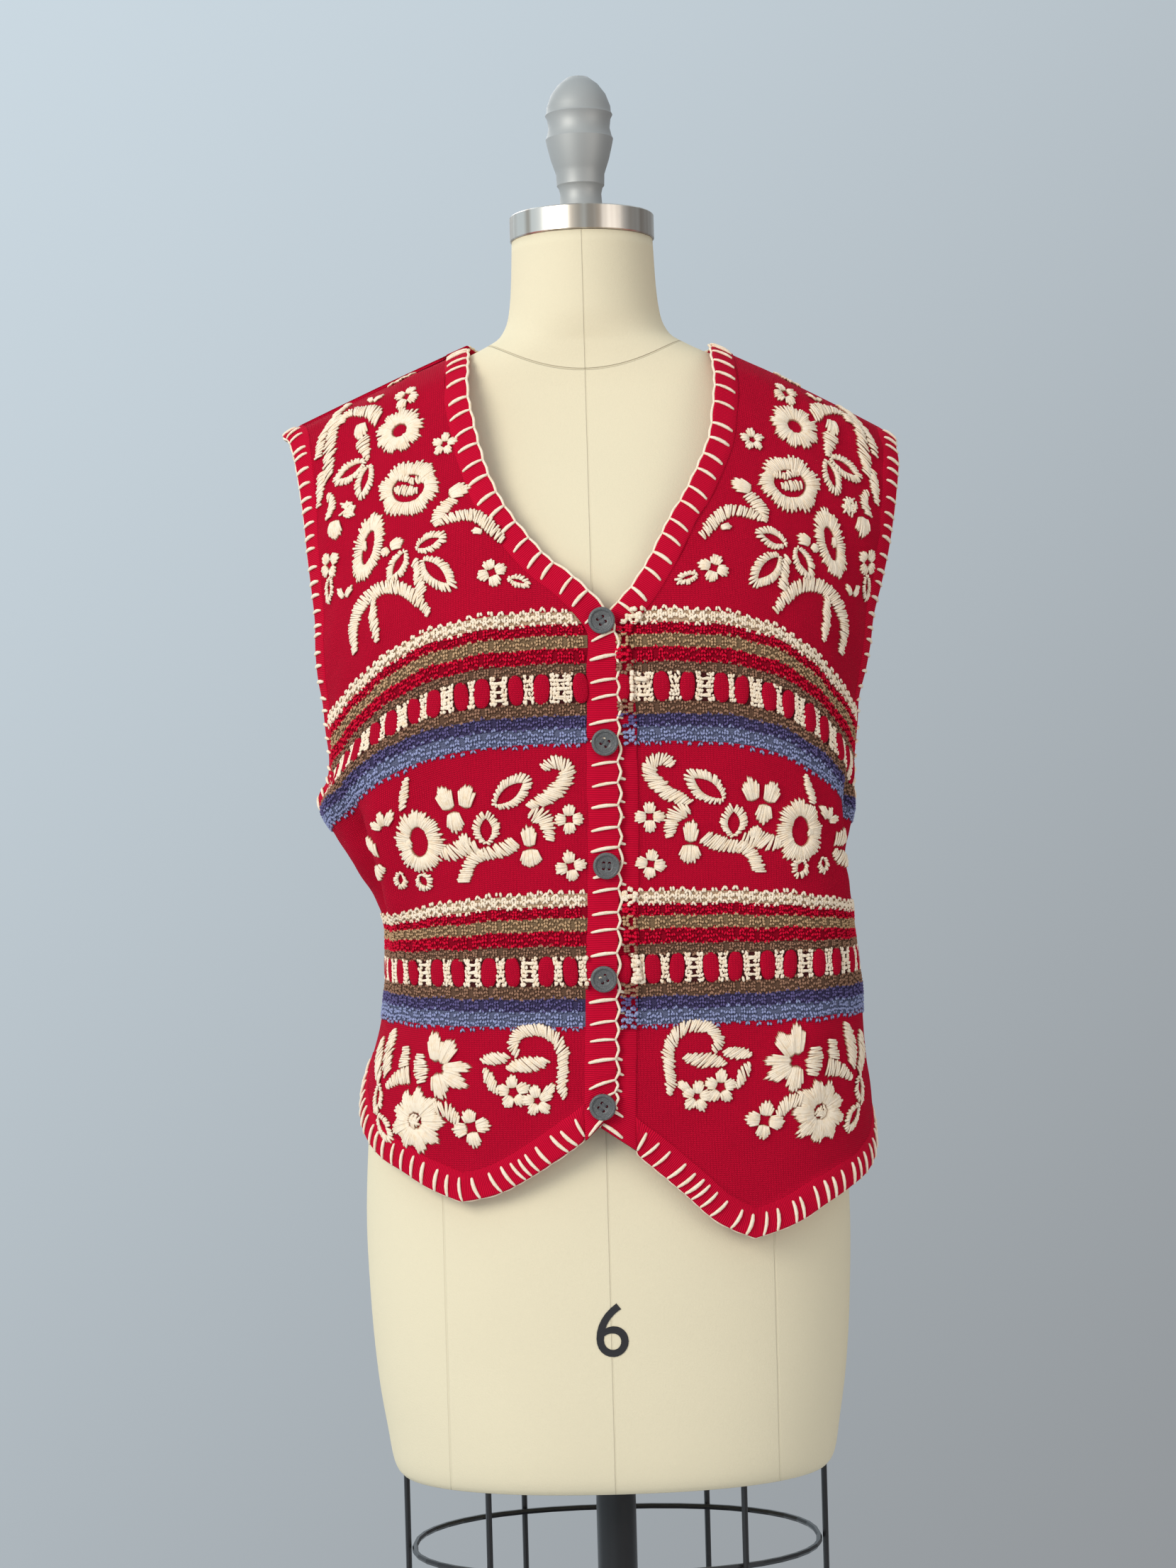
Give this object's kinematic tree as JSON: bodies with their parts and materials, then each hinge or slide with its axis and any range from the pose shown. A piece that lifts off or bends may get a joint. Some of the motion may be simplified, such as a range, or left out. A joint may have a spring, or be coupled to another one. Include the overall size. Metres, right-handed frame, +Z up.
{
  "type": "knitted sweater vest on a limbless dress form",
  "caption": "Sleeveless V-neck knitted cardigan vest with pointed fronts, buttoned over a limbless dress form on a pole and round base.",
  "frame": {"origin": "centre of the base's underside on the floor, on the pole's axis", "axes": "+Z up along the pole; the vest's front faces -Y, so +X is the wearer's left"},
  "size_m": [0.464, 0.464, 1.573],
  "materials": {
    "red_knit": "matt fine wool knit",
    "red_band": "matt dense wool knit",
    "grey_button": "pewter grey, semi-gloss",
    "form_jersey": "matt cream jersey",
    "bright_steel": "polished",
    "silver_paint": "satin silver paint",
    "black_enamel": "gloss black"
  },
  "bodies": {
    "root": {"front_right": "red_knit", "front_left": "red_knit", "back": "red_knit", "front_band_right": "red_band", "front_band_left": "red_band", "neck_band_back": "red_band", "armhole_band_right": "red_band", "armhole_band_left": "red_band", "hem_band_right": "red_band", "hem_band_left": "red_band", "hem_band_back": "red_band", "button_1": "grey_button", "button_2": "grey_button", "button_3": "grey_button", "button_4": "grey_button", "button_5": "grey_button", "form_torso": "form_jersey", "neck_ring": "bright_steel", "finial": "silver_paint", "pole": "black_enamel", "base": "black_enamel", "cage_hoop_upper": "black_enamel", "cage_hoop_lower": "black_enamel", "cage_wire_1": "black_enamel", "cage_wire_2": "black_enamel", "cage_wire_3": "black_enamel", "cage_wire_4": "black_enamel", "cage_wire_5": "black_enamel", "cage_wire_6": "black_enamel"}
  },
  "joints": []
}
